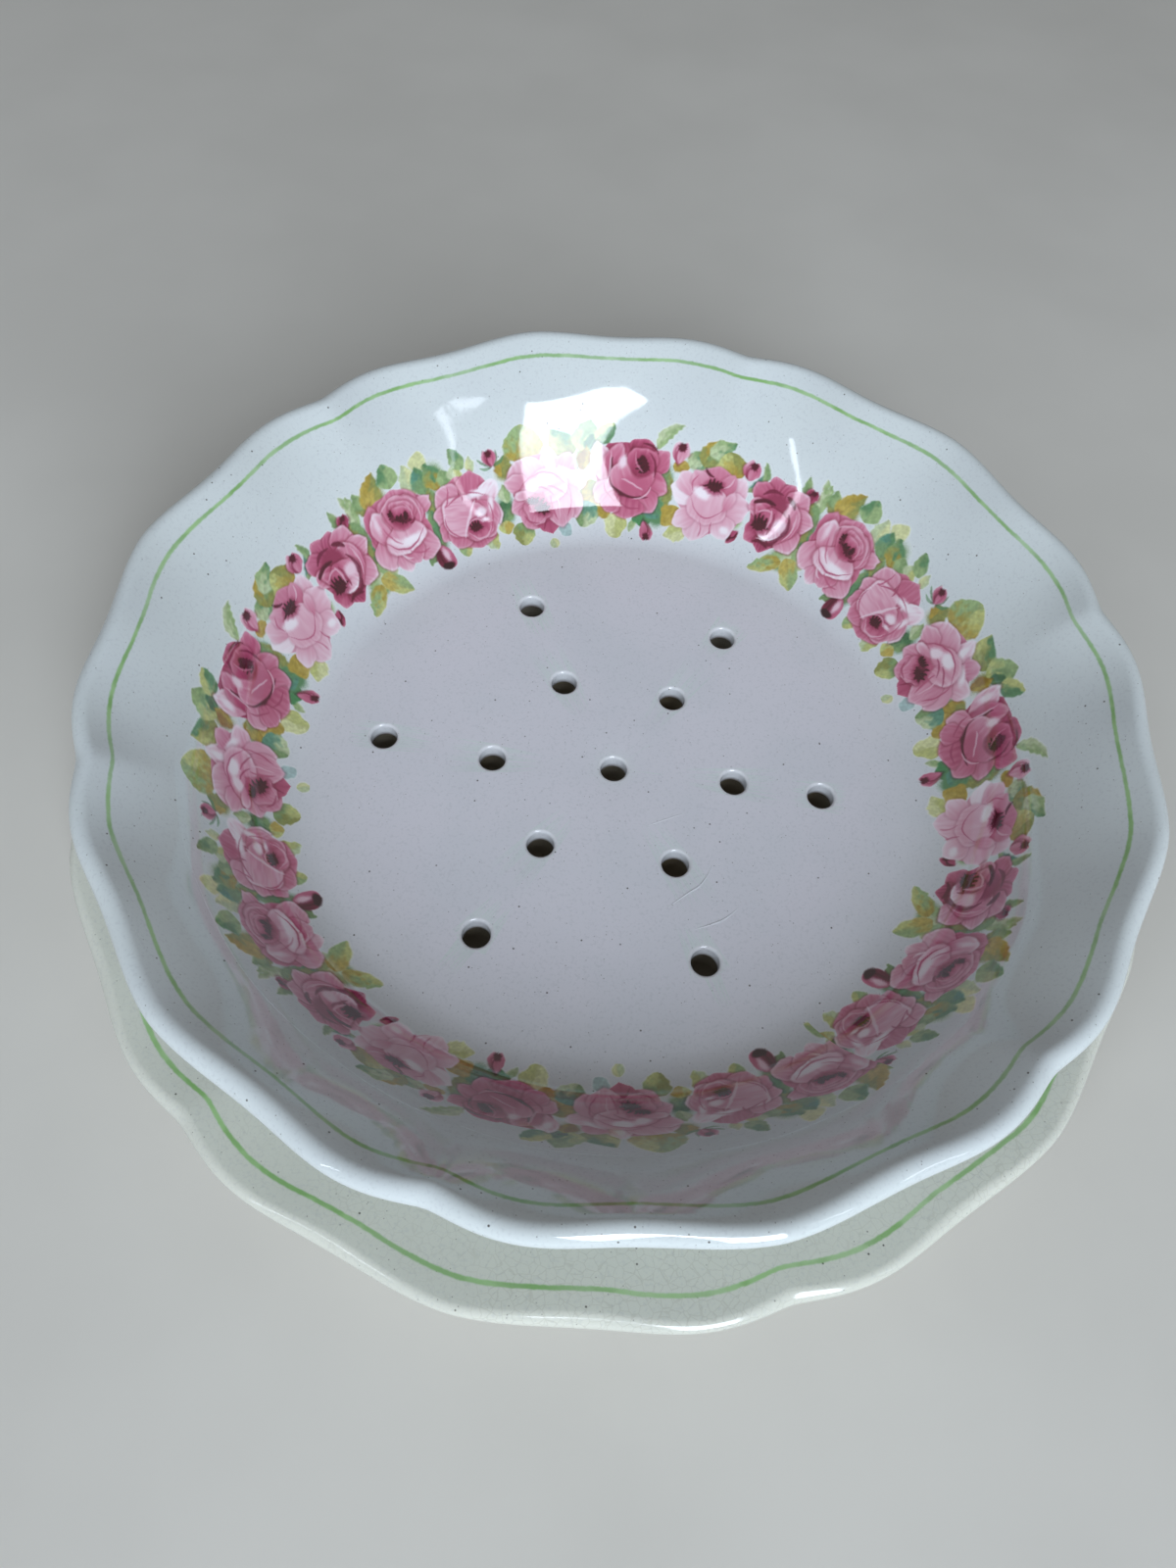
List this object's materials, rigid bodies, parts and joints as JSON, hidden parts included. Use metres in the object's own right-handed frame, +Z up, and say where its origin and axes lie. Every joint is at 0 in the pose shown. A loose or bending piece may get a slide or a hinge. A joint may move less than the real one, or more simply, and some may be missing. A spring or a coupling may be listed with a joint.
{
  "type": "colander bowl with underplate",
  "caption": "Round pierced berry bowl with a scalloped rim, standing on a matching scalloped underplate that catches the drips.",
  "frame": {"origin": "centre of the plate's foot ring, on the surface that it stands on", "axes": "+Z up along the axis of the bowl and plate; +X along one spoke of drain holes; -Y is the front"},
  "size_m": [0.2722, 0.2714, 0.0605],
  "materials": {
    "cream_glaze": "gloss, finely crazed",
    "white_glaze": "gloss"
  },
  "bodies": {
    "plate": {"underplate": "cream_glaze"},
    "bowl": {"colander_bowl": "white_glaze"}
  },
  "joints": [
    {"name": "bowl_lift", "type": "slide", "parent": "plate", "child": "bowl", "axis": [0, 0, 1], "range_m": [0, 0.08]}
  ]
}
